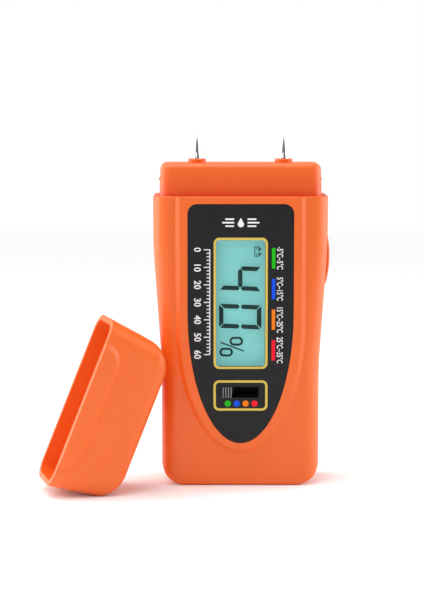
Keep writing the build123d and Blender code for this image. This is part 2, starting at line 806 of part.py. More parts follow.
# ---------------------------------------------------------------- range switch
with BuildPart() as switch_bezel:
    with BuildSketch(front_plane(bezel_back_y)):
        with Locations((0, slot_z)):
            Rectangle(slot_width + 2 * bezel_margin, slot_height + 2 * bezel_margin)
            Rectangle(slot_width, slot_height, mode=Mode.SUBTRACT)
    extrude(amount=bezel_thickness)
switch_bezel.part.label = "switch_bezel"
export_step(switch_bezel.part, "parts/switch_bezel.step")

stem_half = 1.0
stem_half_height = 1.2
foot_half_size = 2.6
with BuildPart() as switch_body:
    with BuildSketch(front_plane(board_front_y)):
        with Locations((0, slot_z)):
            Rectangle(switch_body_width, switch_body_height)
    extrude(amount=switch_body_depth)
    with BuildSketch(front_plane(board_front_y - 0.4)):
        with Locations((0, slot_z)):
            Rectangle(knob_travel + 2 * foot_half_size + 1.0, 2 * foot_half_size + 1.0)
    extrude(amount=switch_body_depth - 0.4 - switch_shell, mode=Mode.SUBTRACT)
    with BuildSketch(front_plane(switch_front_y + 1)):
        with Locations((0, slot_z)):
            Rectangle(knob_travel + 2 * stem_half + 0.6, 2 * stem_half_height + 0.4)
    extrude(amount=2, mode=Mode.SUBTRACT)
switch_body.part.label = "switch_body"
export_step(switch_body.part, "parts/switch_body.step")

knob_face_y = label_face_y - knob_stand
knob_back_y = switch_front_y - 0.4
with BuildPart() as switch_knob:
    with BuildSketch(front_plane(knob_back_y)):
        with Locations((knob_x, slot_z)):
            Rectangle(knob_width, slot_height - 2 * knob_clearance)
    extrude(amount=knob_back_y - knob_face_y)
    fillet(switch_knob.edges().group_by(Axis.Y)[0], 0.25)
    with BuildSketch(front_plane(knob_face_y + 0.1)):
        with Locations((knob_x, slot_z)):
            with GridLocations(knob_rib_pitch, 0, 4, 1):
                Rectangle(knob_rib_width, slot_height - 2 * knob_clearance)
    extrude(amount=knob_rib_height + 0.1)
    with BuildSketch(front_plane(switch_front_y + switch_shell + 0.1)):
        with Locations((knob_x, slot_z)):
            Rectangle(2 * stem_half, 2 * stem_half_height)
    extrude(amount=switch_front_y + switch_shell + 0.1 - knob_back_y)
    with BuildSketch(front_plane(board_front_y - 0.6)):
        with Locations((knob_x, slot_z)):
            Rectangle(2 * foot_half_size, 2 * foot_half_size)
    extrude(amount=board_front_y - 0.6 - (switch_front_y + switch_shell + 0.1))
switch_knob.part.label = "switch_knob"
export_step(switch_knob.part, "parts/switch_knob.step")

# ---------------------------------------------------------------- test button and the switch it presses
button_top_z = button_z + button_length / 2
button_bottom_z = button_z - button_length / 2
button_inner_x = flank_half(button_bottom_z) - wall - 0.9
flange_back_x = button_inner_x - button_flange_thickness
plunger_tip_x = tact_x + plunger_reach
with BuildPart() as button_dome:
    with BuildSketch(Plane.XZ):
        with BuildLine():
            ThreePointArc(
                (flank_half(button_bottom_z) + 0.1, button_bottom_z),
                (flank_half(button_z) + button_bulge, button_z + 1.0),
                (flank_half(button_top_z) + 0.1, button_top_z),
            )
            Polyline(
                (flank_half(button_top_z) + 0.1, button_top_z),
                (flange_back_x, button_top_z),
                (flange_back_x, button_bottom_z),
                (flank_half(button_bottom_z) + 0.1, button_bottom_z),
            )
        make_face()
    extrude(amount=button_width, both=True)

with BuildPart() as test_button:
    with BuildSketch(Plane.YZ.offset(flange_back_x)):
        with Locations((0, button_z)):
            SlotOverall(button_length, button_width, 90)
    extrude(amount=4 * wall)
    add(button_dome.part, mode=Mode.INTERSECT)
    fillet(test_button.edges().group_by(Axis.X)[-1], button_edge_round)
    with BuildSketch(Plane.YZ.offset(flange_back_x)):
        with Locations((0, button_z)):
            SlotOverall(button_length + 2 * button_flange, button_width + 2 * button_flange, 90)
    extrude(amount=button_flange_thickness)
    with BuildSketch(Plane.YZ.offset(plunger_tip_x + plunger_gap)):
        with Locations((tact_y, button_z)):
            Circle(pusher_radius)
    extrude(amount=flange_back_x - plunger_tip_x - plunger_gap)
test_button.part.label = "test_button"
export_step(test_button.part, "parts/test_button.step")

with BuildPart() as tact_switch:
    with BuildSketch(Plane.YZ.offset(tact_x - tact_depth)):
        with Locations((tact_y, button_z)):
            Rectangle(tact_size, tact_size)
    extrude(amount=tact_depth)
    with BuildSketch(Plane.YZ.offset(tact_x - 2.2)):
        with Locations((tact_y, button_z)):
            Circle(plunger_radius + plunger_clearance)
    extrude(amount=3, mode=Mode.SUBTRACT)
tact_switch.part.label = "tact_switch"
export_step(tact_switch.part, "parts/tact_switch.step")

with BuildPart() as tact_plunger:
    with BuildSketch(Plane.YZ.offset(tact_x - 2.2 + button_travel + 0.3)):
        with Locations((tact_y, button_z)):
            Circle(plunger_radius)
    extrude(amount=plunger_tip_x - (tact_x - 2.2 + button_travel + 0.3))
    chamfer(tact_plunger.edges().group_by(Axis.X)[-1], 0.2)
tact_plunger.part.label = "tact_plunger"
export_step(tact_plunger.part, "parts/tact_plunger.step")

# ---------------------------------------------------------------- electrode pins, sockets and leads
socket_top_z = neck_top_z - wall - seat_clearance
socket_bottom_z = socket_top_z - socket_length
tail_end_z = socket_bottom_z - socket_tail
pin_tip_z = boss_top_z + pin_length
for side, name in ((-1, "left"), (1, "right")):
    pin_x = side * pin_spacing / 2
    with BuildPart() as pin:
        with BuildSketch(Plane.XZ):
            with BuildLine():
                Polyline(
                    (0, pin_tip_z),
                    (0, socket_top_z - pin_shank_depth + 1.0),
                    (pin_shank_radius, socket_top_z - pin_shank_depth + 1.0),
                    (pin_shank_radius, boss_top_z),
                    (pin_collar_radius, boss_top_z),
                    (pin_collar_radius, boss_top_z + 0.4),
                    (pin_radius, boss_top_z + pin_collar_height),
                )
                RadiusArc(
                    (pin_radius, boss_top_z + pin_collar_height),
                    (pin_tip_radius, pin_tip_z),
                    -pin_ogive,
                )
                Line((pin_tip_radius, pin_tip_z), (0, pin_tip_z))
            make_face()
        revolve(axis=Axis.Z)
    with BuildPart() as electrode_pin:
        with Locations((pin_x, 0, 0)):
            add(pin.part)
    electrode_pin.part.label = "electrode_pin_" + name
    export_step(electrode_pin.part, "parts/electrode_pin_" + name + ".step")

    with BuildPart() as pin_socket:
        with BuildSketch(Plane.XY.offset(socket_bottom_z)):
            with Locations((pin_x, 0)):
                Circle(socket_radius)
        extrude(amount=socket_length)
        with BuildSketch(Plane.XY.offset(tail_end_z)):
            with Locations((pin_x, 0)):
                Circle(socket_tail_radius)
        extrude(amount=socket_tail)
        with BuildSketch(Plane.XY.offset(socket_bottom_z + 0.6)):
            with Locations((pin_x, 0)):
                Circle(pin_shank_radius + thread_clearance)
        extrude(amount=socket_length, mode=Mode.SUBTRACT)
    pin_socket.part.label = "pin_socket_" + name
    export_step(pin_socket.part, "parts/pin_socket_" + name + ".step")


def lead_radii(points):
    """Largest arcs that the two runs beside each corner leave room for."""
    radii = []
    for before, corner, after in zip(points, points[1:], points[2:]):
        run_in = Vector(*corner) - Vector(*before)
        run_out = Vector(*after) - Vector(*corner)
        shorter = min(run_in.length, run_out.length)
        radii.append(0.45 * shorter / tan(radians(run_in.get_angle(run_out) / 2)))
    return radii


def lead_tube(points):
    """Round lead along straight runs joined by arcs."""
    with BuildPart() as lead:
        with BuildLine() as route:
            FilletPolyline(*points, radius=lead_radii(points))
        with BuildSketch(Plane(origin=points[0], z_dir=route.line % 0)):
            Circle(lead_radius)
        sweep()
    return lead.part


for side, name in ((-1, "left"), (1, "right")):
    pin_x = side * pin_spacing / 2
    with BuildPart() as electrode_lead:
        add(lead_tube([
            (pin_x, 0, tail_end_z),
            (pin_x, 0, tail_end_z - 5.9),
            (pin_x - side * 1.0, -3.8, tail_end_z - 12.0),
            (pin_x - side * 1.0, board_back_y, tail_end_z - 12.0),
        ]))
    electrode_lead.part.label = "electrode_lead_" + name
    export_step(electrode_lead.part, "parts/electrode_lead_" + name + ".step")

# ---------------------------------------------------------------- battery, its connector and leads
with BuildPart() as battery:
    with BuildSketch(Plane.XY.offset(battery_bottom_z)):
        with Locations((0, battery_y)):
            RectangleRounded(battery_width, battery_thickness, battery_round)
    extrude(amount=battery_height)
battery.part.label = "battery"
export_step(battery.part, "parts/battery.step")

with BuildPart() as battery_terminals:
    with BuildSketch(Plane.XY.offset(battery_top_z)):
        with Locations((-terminal_spacing / 2, battery_y)):
            Circle(terminal_radius_plus)
        with Locations((terminal_spacing / 2, battery_y)):
            RegularPolygon(terminal_radius_minus, 6)
    extrude(amount=terminal_height)
battery_terminals.part.label = "battery_terminals"
export_step(battery_terminals.part, "parts/battery_terminals.step")

with BuildPart() as battery_snap:
    with BuildSketch(Plane.XY.offset(snap_bottom_z)):
        with Locations((0, battery_y)):
            RectangleRounded(battery_width - 1.0, battery_thickness - 4.0, 2.0)
    extrude(amount=snap_height)
    with BuildSketch(Plane.XY.offset(snap_bottom_z)):
        with Locations((0, battery_y)):
            with GridLocations(terminal_spacing, 0, 2, 1):
                Circle(terminal_radius_minus + 0.2)
    extrude(amount=terminal_height, mode=Mode.SUBTRACT)
    fillet(battery_snap.edges().group_by(Axis.Z)[-1], 0.8)
battery_snap.part.label = "battery_snap"
export_step(battery_snap.part, "parts/battery_snap.step")

for side, name in ((-1, "black"), (1, "red")):
    with BuildPart() as battery_lead:
        add(lead_tube([
            (side * 3.2, battery_y, snap_top_z),
            (side * 3.2, battery_y, snap_top_z + 8.1),
            (side * 3.2, battery_y - 5.4, snap_top_z + 14.6),
            (side * 3.2, board_back_y, snap_top_z + 14.6),
        ]))
    battery_lead.part.label = "battery_lead_" + name
    export_step(battery_lead.part, "parts/battery_lead_" + name + ".step")

with BuildPart() as battery_pad:
    with BuildSketch(Plane.XY.offset(wall)):
        with Locations((0, battery_y)):
            Rectangle(battery_width - 2.5, battery_thickness - 3.0)
    extrude(amount=pad_thickness)
battery_pad.part.label = "battery_pad"
export_step(battery_pad.part, "parts/battery_pad.step")

# ---------------------------------------------------------------- case screws, driven from the back
with BuildPart() as case_screws:
    with BuildSketch(front_plane(screw_head_top_y)):
        with Locations(*screw_places):
            Circle(screw_head_radius)
    extrude(amount=screw_head_height)
    with BuildSketch(front_plane(screw_seat_y)):
        with Locations(*screw_places):
            Circle(screw_radius)
    extrude(amount=screw_seat_y - inner_front_y - 3.0)
    with BuildSketch(front_plane(screw_head_top_y)):
        with Locations(*screw_places):
            Rectangle(3.2, 0.7)
            Rectangle(0.7, 3.2)
    extrude(amount=1.1, mode=Mode.SUBTRACT)
case_screws.part.label = "case_screws"
export_step(case_screws.part, "parts/case_screws.step")
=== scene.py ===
"""Looks of a pin-type moisture meter: finishes, printed face, display content, light and camera.

Metres, +Z up, front face towards -Y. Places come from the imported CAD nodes.
"""
import json
import math

import bmesh
import bpy
from mathutils import Matrix, Vector


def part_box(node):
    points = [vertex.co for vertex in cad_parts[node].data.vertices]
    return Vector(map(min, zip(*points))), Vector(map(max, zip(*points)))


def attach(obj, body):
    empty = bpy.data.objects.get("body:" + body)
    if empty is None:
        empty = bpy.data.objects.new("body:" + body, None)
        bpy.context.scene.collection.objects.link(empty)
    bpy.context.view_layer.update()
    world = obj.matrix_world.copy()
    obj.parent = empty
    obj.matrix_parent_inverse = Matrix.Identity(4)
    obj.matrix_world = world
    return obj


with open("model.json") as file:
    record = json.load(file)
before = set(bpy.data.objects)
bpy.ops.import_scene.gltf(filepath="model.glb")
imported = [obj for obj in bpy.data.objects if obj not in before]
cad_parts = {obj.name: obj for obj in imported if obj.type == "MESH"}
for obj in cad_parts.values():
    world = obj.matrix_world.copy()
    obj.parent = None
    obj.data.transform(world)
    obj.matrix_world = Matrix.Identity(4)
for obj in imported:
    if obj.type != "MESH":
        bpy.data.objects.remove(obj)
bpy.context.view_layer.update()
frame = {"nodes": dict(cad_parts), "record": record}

MM = 0.001

# ---------------------------------------------------------------- places taken from the frame
label_low, label_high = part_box("face_label")
lens_low, lens_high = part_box("display_window")
glass_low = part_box("lcd_glass")[0]
knob_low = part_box("switch_knob")[0]
battery_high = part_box("battery")[1]

label_y = label_low.y                     # front face of the label
display_z = (lens_low.z + lens_high.z) / 2
display_width = 19.2 * MM
display_height = 49.5 * MM
shoulder_z = label_high.z + 2.9 * MM      # where the case ends and the neck begins

# ---------------------------------------------------------------- colours, linear
ORANGE = (0.84, 0.136, 0.012)
ORANGE_DEEP = (0.81, 0.124, 0.010)
# painted shade: the deeper orange painted on the neck, darkest at its foot
NECK_PAINTED_SHADE = (0.73, 0.078, 0.004)
FILM_BLACK = (0.010, 0.010, 0.011)
INK_YELLOW = (0.70, 0.52, 0.095)
INK_WHITE = (0.88, 0.88, 0.88)
INK_GREEN = (0.010, 0.50, 0.004)
INK_BLUE = (0.002, 0.085, 0.80)
INK_ORANGE = (0.90, 0.205, 0.004)
INK_RED = (0.95, 0.004, 0.024)
SEGMENT_DARK = (0.008, 0.040, 0.036)
FLOOR_PALE = (0.90, 0.90, 0.90)
FLOOR_PALER = (0.92, 0.92, 0.92)
STUDIO_GREY = (0.25, 0.25, 0.26)
STUDIO_WHITE = (1.0, 1.0, 1.0)
RANGE_COLOURS = {"green": INK_GREEN, "blue": INK_BLUE, "orange": INK_ORANGE, "red": INK_RED}

# ---------------------------------------------------------------- printed face
ink_lift = 0.03 * MM                      # how far the ink stands out of the film
ink_sink = 0.02 * MM
frame_line = 0.90 * MM
frame_corner = 2.2 * MM
switch_frame_width = 21.1 * MM
switch_frame_height = 12.0 * MM
switch_frame_z = 36.05 * MM
dot_radius = 1.22 * MM
dot_shift = 0.25 * MM
dot_pitch = 3.48 * MM
dot_z = 32.85 * MM
bar_x = 12.75 * MM
bar_width = 1.35 * MM
bar_length = 8.0 * MM
bar_first_z = 89.9 * MM
bar_pitch = 12.0 * MM
range_text_x = 15.1 * MM
range_text_height = 2.4 * MM
scale_x = -12.0 * MM                      # the moisture scale left of the display
scale_top_z = 93.2 * MM
scale_length = 41.0 * MM
scale_marks = 30
scale_numbers = 6
tick_long = 2.3 * MM
tick_short = 1.2 * MM
tick_width = 0.38 * MM
scale_text_x = -16.9 * MM
scale_text_height = 2.7 * MM
badge_z = 103.7 * MM
badge_height = 3.6 * MM
badge_bars = ((-1, 3.4 * MM), (0, 4.6 * MM), (1, 3.4 * MM))
badge_bar_start = 2.6 * MM                # from the middle of the drop
badge_bar_width = 0.62 * MM
badge_bar_pitch = 1.35 * MM
drop_corners = 24
drop_radius = badge_height * 0.34
drop_z = badge_z - badge_height * 0.16
drop_peak = badge_height * 0.32           # how far its point rises above a circle
drop_pinch = 0.55                         # how much it narrows towards the point

# ---------------------------------------------------------------- display content
digit_width = 9.5 * MM
digit_height = 16.5 * MM
stroke = 1.72 * MM
stroke_gap = 0.16 * MM
digit_slant = 0.04
first_digit_z = 81.8 * MM
second_digit_z = 66.8 * MM
digits_x = -0.15 * MM
segment_thickness = 0.04 * MM
percent_rings = ((-1.65 * MM, 57.1 * MM), (-5.60 * MM, 52.8 * MM))
percent_ring_size = (5.3 * MM, 3.5 * MM)
percent_ring_line = 0.85 * MM
percent_slash = ((-7.75 * MM, 56.65 * MM), (1.35 * MM, 53.2 * MM))
percent_slash_width = 0.5 * MM
cell_icon_x = 6.3 * MM
cell_icon_z = 92.25 * MM
cell_icon_width = 2.0 * MM
cell_icon_length = 3.9 * MM
cell_icon_corner = 0.35 * MM
cell_icon_line = 0.34 * MM
cell_terminal_width = 0.55 * MM
cell_terminal_length = 0.8 * MM
cell_terminal_x = 1.3 * MM
cell_terminal_z = 1.05 * MM
cell_sign_z = 1.0 * MM
cell_sign_width = 0.6 * MM
cell_sign_line = 0.30 * MM
cell_plus_line = 0.28 * MM
cell_plus_length = 0.62 * MM


class Signal:
    """A number, colour or vector on its way between two shader nodes."""

    def __init__(self, bench, socket):
        self.bench = bench
        self.socket = socket

    def __add__(self, other):
        return self.bench.maths("ADD", self, other)

    __radd__ = __add__

    def __sub__(self, other):
        return self.bench.maths("SUBTRACT", self, other)

    def __rsub__(self, other):
        return self.bench.maths("SUBTRACT", other, self)

    def __mul__(self, other):
        return self.bench.maths("MULTIPLY", self, other)

    __rmul__ = __mul__


class Bench:
    """A node tree under construction."""

    def __init__(self, tree):
        self.tree = tree

    def node(self, kind, settings=None, sockets=None, out=0):
        made = self.tree.nodes.new(kind)
        for name, value in (settings or {}).items():
            setattr(made, name, value)
        for name, value in (sockets or {}).items():
            if isinstance(value, Signal):
                self.tree.links.new(value.socket, made.inputs[name])
            else:
                made.inputs[name].default_value = value
        return Signal(self, made.outputs[out])

    def maths(self, operation, first, second):
        return self.node("ShaderNodeMath", {"operation": operation}, {0: first, 1: second})

    def step(self, signal, start, end, low=0.0, high=1.0):
        """low before start, high after end."""
        return self.node("ShaderNodeMapRange", None, {0: signal, 1: start, 2: end, 3: low, 4: high})

    def mix(self, factor, low, high, blend="MIX"):
        settings = {"data_type": "RGBA", "blend_type": blend}
        return self.node("ShaderNodeMix", settings, {0: factor, 6: low, 7: high}, 2)


class Finish(Bench):
    """A material under construction around its Principled shader."""

    def __init__(self, name, **constants):
        self.material = bpy.data.materials.new(name)
        self.material.use_nodes = True
        super().__init__(self.material.node_tree)
        self.shader = self.tree.nodes["Principled BSDF"]
        for socket, value in constants.items():
            self.shader.inputs[socket.replace("_", " ")].default_value = value
        self.place = self.node("ShaderNodeTexCoord", out="Object")

    def noise(self, scale, detail=2.0, distortion=0.0):
        sockets = {"Vector": self.place, "Scale": scale, "Detail": detail, "Distortion": distortion}
        return self.node("ShaderNodeTexNoise", None, sockets)

    def axis(self, name):
        return self.node("ShaderNodeSeparateXYZ", None, {0: self.place}, name)

    def feed(self, socket, signal):
        self.tree.links.new(signal.socket, self.shader.inputs[socket])

    def relief(self, height, depth, strength=1.0):
        bump = self.node("ShaderNodeBump", None, {"Strength": strength, "Distance": depth, "Height": height})
        self.feed("Normal", bump)


def rgba(colour):
    return (*colour, 1.0)


def mottled(name, colour, second, patch=60.0, rough=0.4, rough_spread=0.08, grain=1500.0, depth=0.01 * MM,
            **constants):
    """A finish whose colour drifts a little between two tones, with a fine grain."""
    finish = Finish(name, **constants)
    drift = finish.noise(patch, 3.0)
    speck = finish.noise(grain, 2.0)
    finish.feed("Base Color", finish.mix(drift, rgba(colour), rgba(second)))
    finish.feed("Roughness", speck * rough_spread + (rough - rough_spread / 2))
    finish.relief(speck, depth)
    return finish


# ---------------------------------------------------------------- finishes
def shell_finish():
    """Satin moulded shell with a fine even texture; the neck carries painted shade, darkest just above the
    shoulder and fading out towards its top.
    """
    finish = Finish("satin_orange_shell", Specular_IOR_Level=0.5)
    drift = finish.noise(35.0, 3.0)
    texture = finish.noise(2600.0, 1.0)
    scuff = finish.step(finish.noise(420.0, 4.0, 0.6), 0.62, 0.80)
    height = finish.axis("Z")
    # painted shade on the neck: its orange deepens just above the shoulder and fades out over 12.5 mm
    # upwards
    neck_shade_from_shoulder = finish.step(height, shoulder_z - 0.4 * MM, shoulder_z + 0.2 * MM)
    neck_shade_fade = 1 - finish.step(height, shoulder_z, shoulder_z + 12.5 * MM)
    shell = finish.mix(drift, rgba(ORANGE), rgba(ORANGE_DEEP))
    finish.feed("Base Color", finish.mix(neck_shade_from_shoulder * neck_shade_fade, shell, rgba(NECK_PAINTED_SHADE)))
    finish.feed("Roughness", texture * 0.06 + scuff * 0.05 + 0.37)
    finish.relief(texture, 0.004 * MM)
    return finish.material


def battery_finish():
    """Printed steel can: dark sleeve with a copper band at the terminal end."""
    finish = Finish("battery_sleeve", Metallic=0.35)
    height = finish.axis("Z")
    band = finish.step(height, battery_high.z - 15.2 * MM, battery_high.z - 15.0 * MM)
    speck = finish.noise(900.0)
    drift = finish.noise(80.0)
    dark = finish.mix(drift, (0.020, 0.021, 0.024, 1), (0.030, 0.031, 0.036, 1))
    copper = finish.mix(drift, (0.62, 0.29, 0.10, 1), (0.56, 0.24, 0.08, 1))
    finish.feed("Base Color", finish.mix(band, dark, copper))
    finish.feed("Roughness", speck * 0.1 + 0.26)
    finish.relief(speck, 0.003 * MM)
    return finish.material


def board_finish():
    """Green solder mask over copper tracks that show as paler lines."""
    finish = Finish("green_solder_mask", Specular_IOR_Level=0.6)
    cells = finish.node("ShaderNodeTexVoronoi", {"feature": "DISTANCE_TO_EDGE", "distance": "EUCLIDEAN"},
                        {"Vector": finish.place, "Scale": 260.0, "Randomness": 0.35}, "Distance")
    track = 1 - finish.step(cells, 0.05, 0.09)
    drift = finish.noise(120.0)
    mask = finish.mix(drift, (0.010, 0.110, 0.045, 1), (0.014, 0.135, 0.055, 1))
    finish.feed("Base Color", finish.mix(track * 0.6, mask, (0.030, 0.260, 0.100, 1)))
    finish.feed("Roughness", drift * 0.1 + 0.27)
    finish.relief(track, 0.03 * MM)
    return finish.material


def knob_finish():
    """Black slide knob whose front-most rib tops carry a painted highlight in pale grey."""
    finish = Finish("slide_knob_black")
    depth = finish.axis("Y")
    speck = finish.noise(1800.0)
    # painted highlight: the front-most 0.1 to 0.2 mm of the ribs is painted pale grey, with a little speckle
    rib_top_painted_highlight = (1 - finish.step(depth, knob_low.y + 0.10 * MM, knob_low.y + 0.20 * MM)) * (speck * 0.3 + 0.72)
    finish.feed("Base Color", finish.mix(rib_top_painted_highlight, (0.004, 0.004, 0.004, 1), (0.34, 0.34, 0.35, 1)))
    finish.feed("Roughness", speck * 0.1 + 0.48)
    finish.relief(speck, 0.006 * MM)
    return finish.material


def reflector_finish():
    """Pale teal film behind the liquid crystal, a touch greyer towards its edges, with a painted glow: it
    emits its own colour though no lamp is behind it.
    """
    # painted light: the film emits light through Emission Strength 0.42
    finish = Finish("teal_back_film", Roughness=0.6, Emission_Strength=0.42)
    across = finish.maths("ABSOLUTE", finish.axis("X"), 0.0)
    edge = finish.step(across, 5.5 * MM, 11.0 * MM)
    grain = finish.noise(700.0, 3.0)
    middle = finish.mix(grain, (0.262, 0.640, 0.625, 1), (0.292, 0.690, 0.670, 1))
    film = finish.mix(edge * 0.55, middle, (0.250, 0.570, 0.570, 1))
    finish.feed("Base Color", film)
    # painted glow: the film's colour also feeds its emission
    finish.feed("Emission Color", film)
    finish.relief(grain, 0.004 * MM)
    return finish.material


def see_through(name, tint, opacity, rough):
    """Clear sheet: mostly open, with a little of its own tint."""
    finish = Finish(name, Base_Color=rgba(tint), IOR=1.49)
    smear = finish.noise(55.0, 3.0)
    finish.feed("Alpha", smear * 0.03 + opacity)
    finish.feed("Roughness", smear * 0.05 + rough)
    return finish.material


def chrome_finish():
    """Polished needles with a faint drawn grain along their length."""
    finish = Finish("polished_needle", Metallic=1.0)
    drawn = (2600.0, 2600.0, 90.0)
    stretched = finish.node("ShaderNodeMapping", None, {"Vector": finish.place, "Scale": drawn})
    grain = finish.node("ShaderNodeTexNoise", None, {"Vector": stretched, "Scale": 1.0, "Detail": 2.0})
    finish.feed("Base Color", finish.mix(grain, (0.60, 0.595, 0.60, 1), (0.68, 0.675, 0.68, 1)))
    finish.feed("Roughness", grain * 0.04 + 0.15)
    return finish.material


def metal(name, colour, second, rough):
    return mottled(name, colour, second, 240.0, rough, 0.10, 1400.0, 0.004 * MM, Metallic=1.0).material


def plastic(name, colour, second, rough, depth=0.006 * MM):
    return mottled(name, colour, second, 160.0, rough, 0.08, 1700.0, depth).material


black_moulding = plastic("black_moulding", (0.012, 0.012, 0.013), (0.020, 0.020, 0.021), 0.45)
chip_resin = plastic("chip_resin", (0.018, 0.018, 0.018), (0.030, 0.030, 0.029), 0.55)
tin_plate = metal("tin_plate", (0.62, 0.62, 0.60), (0.52, 0.52, 0.51), 0.30)
zinc_steel = metal("zinc_plated_steel", (0.52, 0.52, 0.54), (0.42, 0.42, 0.45), 0.32)
turned_brass = metal("turned_brass", (0.70, 0.48, 0.19), (0.60, 0.40, 0.15), 0.26)

slot_finishes = {
    "orange_shell": shell_finish(),
    "black_film": mottled("satin_black_film", FILM_BLACK, (0.016, 0.016, 0.017), 160.0, 0.38, 0.08, 1700.0,
                          0.003 * MM, Specular_IOR_Level=0.2).material,
    "clear_window": see_through("clear_acrylic_lens", (0.03, 0.05, 0.05), 0.03, 0.04),
    "lcd_glass": see_through("liquid_crystal_cell", (0.20, 0.60, 0.56), 0.03, 0.06),
    "teal_reflector": reflector_finish(),
    "pink_rubber": plastic("pink_contact_rubber", (0.72, 0.30, 0.30), (0.62, 0.24, 0.25), 0.6),
    "black_plastic": black_moulding,
    "board_green": board_finish(),
    "capacitor_sleeve": plastic("capacitor_sleeve_blue", (0.02, 0.04, 0.15), (0.03, 0.05, 0.19), 0.3),
    "tinned_metal": tin_plate,
    "blue_plastic": plastic("trimmer_blue", (0.03, 0.15, 0.55), (0.04, 0.18, 0.60), 0.38),
    "steel": zinc_steel,
    "pin_chrome": chrome_finish(),
    "brass": turned_brass,
    "lead_white": plastic("white_lead_sleeve", (0.80, 0.79, 0.76), (0.70, 0.69, 0.66), 0.45),
    "lead_red": plastic("red_lead_sleeve", (0.60, 0.015, 0.012), (0.52, 0.012, 0.010), 0.42),
    "lead_black": plastic("black_lead_sleeve", (0.012, 0.012, 0.012), (0.022, 0.022, 0.022), 0.42),
    "battery_wrap": battery_finish(),
    "foam": plastic("closed_cell_foam", (0.060, 0.060, 0.062), (0.095, 0.095, 0.097), 0.85, 0.05 * MM),
}
node_finishes = {
    "switch_body": mottled("dull_black_slider_bed", (0.004, 0.004, 0.004), (0.006, 0.006, 0.006), rough=0.7,
                           Specular_IOR_Level=0.15).material,
    "switch_knob": knob_finish(),
    "main_chip": chip_resin,
    "amplifier_chips": chip_resin,
    "chip_resistors": chip_resin,
}

for part in frame["record"]["subparts"]:
    node = frame["nodes"][part["node"]]
    node.data.materials.clear()
    node.data.materials.append(node_finishes.get(part["node"], slot_finishes[part["material_slot"]]))


def ink(name, colour, rough=0.42):
    """Screen-printed ink: even, with a slight tooth."""
    darker = tuple(channel * 0.90 for channel in colour)
    return mottled(name, colour, darker, 300.0, rough, 0.06, 2200.0, 0.002 * MM,
                   Specular_IOR_Level=0.2).material


yellow_ink = ink("yellow_ink", INK_YELLOW)
white_ink = ink("white_ink", INK_WHITE)
segment_ink = ink("liquid_crystal_dark", SEGMENT_DARK, 0.5)
range_inks = {name: ink(name + "_ink", colour) for name, colour in RANGE_COLOURS.items()}


# ---------------------------------------------------------------- flat shapes, drawn on X and Z facing -Y
def flat_rectangle(shape, width, height, x=0.0, z=0.0, corner=0.0, corner_segments=6):
    """One face, its corners rounded."""
    earlier = set(shape.verts)
    made = bmesh.ops.create_grid(shape, x_segments=1, y_segments=1, size=0.5)["verts"]
    bmesh.ops.scale(shape, verts=made, vec=(width, height, 1))
    if corner > 0:
        bmesh.ops.bevel(shape, geom=made, offset=corner, segments=corner_segments, profile=0.5,
                        affect="VERTICES", material=-1)
        made = [v for v in shape.verts if v not in earlier]
    stand_up(shape, made, x, z)
    return made


def stand_up(shape, verts, x, z):
    """Turns verts from the ground plane to the front plane and moves them to x and z."""
    turn = Matrix.Rotation(math.radians(90), 4, "X")
    bmesh.ops.transform(shape, verts=verts, matrix=Matrix.Translation((x, 0, z)) @ turn)


def flat_polygon(shape, corners):
    """One face through these (x, z) corners."""
    verts = [shape.verts.new((x, 0, z)) for x, z in corners]
    shape.faces.new(verts)
    return verts


def hollow_out(shape, line):
    """Leaves a band of this width along the border of the shape's faces."""
    inner = bmesh.ops.inset_region(shape, faces=shape.faces[:], thickness=line, use_even_offset=True,
                                   use_boundary=True)
    rim = set(inner["faces"])
    bmesh.ops.delete(shape, geom=[f for f in shape.faces if f not in rim], context="FACES")


def thicken(shape, front_y, back_y):
    """Gives flat faces their thickness between two depths."""
    bmesh.ops.remove_doubles(shape, verts=shape.verts[:], dist=0.001 * MM)
    for vert in shape.verts:
        vert.co.y = back_y
    sides = bmesh.ops.extrude_face_region(shape, geom=shape.faces[:])
    moved = [v for v in sides["geom"] if isinstance(v, bmesh.types.BMVert)]
    bmesh.ops.translate(shape, verts=moved, vec=(0, front_y - back_y, 0))
    bmesh.ops.recalc_face_normals(shape, faces=shape.faces[:])


def as_piece(shape, name, material, body="root"):
    mesh = bpy.data.meshes.new(name)
    shape.to_mesh(mesh)
    shape.free()
    return mesh_piece(mesh, name, material, body)


def mesh_piece(mesh, name, material, body="root"):
    piece = bpy.data.objects.new(name, mesh)
    bpy.context.scene.collection.objects.link(piece)
    mesh.materials.clear()
    mesh.materials.append(material)
    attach(piece, body)
    return piece


def printed(shape, name, material):
    """A shape printed on the label."""
    thicken(shape, label_y - ink_lift, label_y + ink_sink)
    return as_piece(shape, name, material)


# ---------------------------------------------------------------- frames round the display and the switch
for name, width, height, z in (
    ("display_frame_print", display_width + 2 * frame_line, display_height + 2 * frame_line, display_z),
    ("switch_frame_print", switch_frame_width, switch_frame_height, switch_frame_z),
):
    outline = bmesh.new()
    flat_rectangle(outline, width, height, 0, z, frame_corner)
    hollow_out(outline, frame_line)
    printed(outline, name, yellow_ink)

# ---------------------------------------------------------------- temperature ranges: dots, bars and numbers
range_limits = (-5, 5, 15, 25, 35)
for index, (name, material) in enumerate(range_inks.items()):
    dot = bmesh.new()
    disc = bmesh.ops.create_circle(dot, cap_ends=True, segments=32, radius=dot_radius)["verts"]
    stand_up(dot, disc, (index - 1.5) * dot_pitch + dot_shift, dot_z)
    printed(dot, name + "_range_dot", material)
    bar = bmesh.new()
    flat_rectangle(bar, bar_width, bar_length, bar_x, bar_first_z - index * bar_pitch, 0.2 * MM, 2)
    printed(bar, name + "_range_bar", material)


